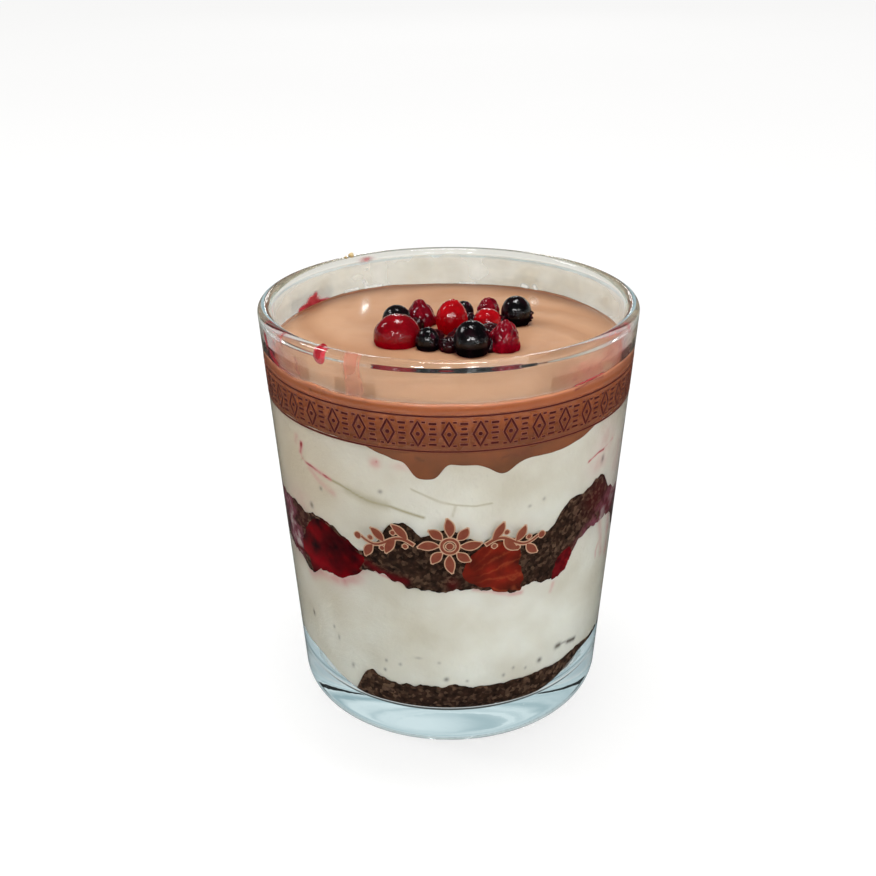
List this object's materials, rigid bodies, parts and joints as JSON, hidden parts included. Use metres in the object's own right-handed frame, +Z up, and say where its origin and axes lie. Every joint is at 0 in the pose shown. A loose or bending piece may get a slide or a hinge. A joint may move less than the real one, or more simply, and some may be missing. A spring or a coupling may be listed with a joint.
{
  "type": "layered parfait in a glass",
  "caption": "Layered parfait of cream, dark cake and chocolate cream in a tapered glass tumbler, topped with small mixed berries",
  "frame": {"origin": "middle of the foot, on the plane that the tumbler rests on", "axes": "+Z is up along the tumbler's axis, the side shown in the picture faces -Y, and +X is to the right of it"},
  "size_m": [0.0848, 0.0848, 0.097],
  "materials": {
    "clear_glass": "clear, polished",
    "cream": "soft cream, satin",
    "chocolate_cream": "whipped chocolate cream, satin",
    "dark_cake": "crumbly dark cake, matte",
    "compote": "dark red cooked fruit, wet",
    "strawberry": "cut fruit, wet",
    "red_berry": "red berry skin, wet",
    "dark_berry": "near-black berry skin, wet",
    "raspberry": "raspberry, wet"
  },
  "bodies": {
    "root": {"glass_tumbler": "clear_glass", "crumb_base": "dark_cake", "lower_cream": "cream", "cake_middle": "dark_cake", "berry_compote": "compote", "strawberry_piece": "strawberry", "cherry_piece": "compote", "upper_cream": "cream", "chocolate_cream": "chocolate_cream", "cranberry": "red_berry", "dark_currant_left": "dark_berry", "raspberry_left": "raspberry", "dark_currant_small": "dark_berry", "redcurrant": "red_berry", "dark_currant_behind": "dark_berry", "dark_currant_front": "dark_berry", "raspberry_back": "raspberry", "redcurrant_right": "red_berry", "raspberry_front": "raspberry", "dark_currant_right": "dark_berry"}
  },
  "joints": []
}
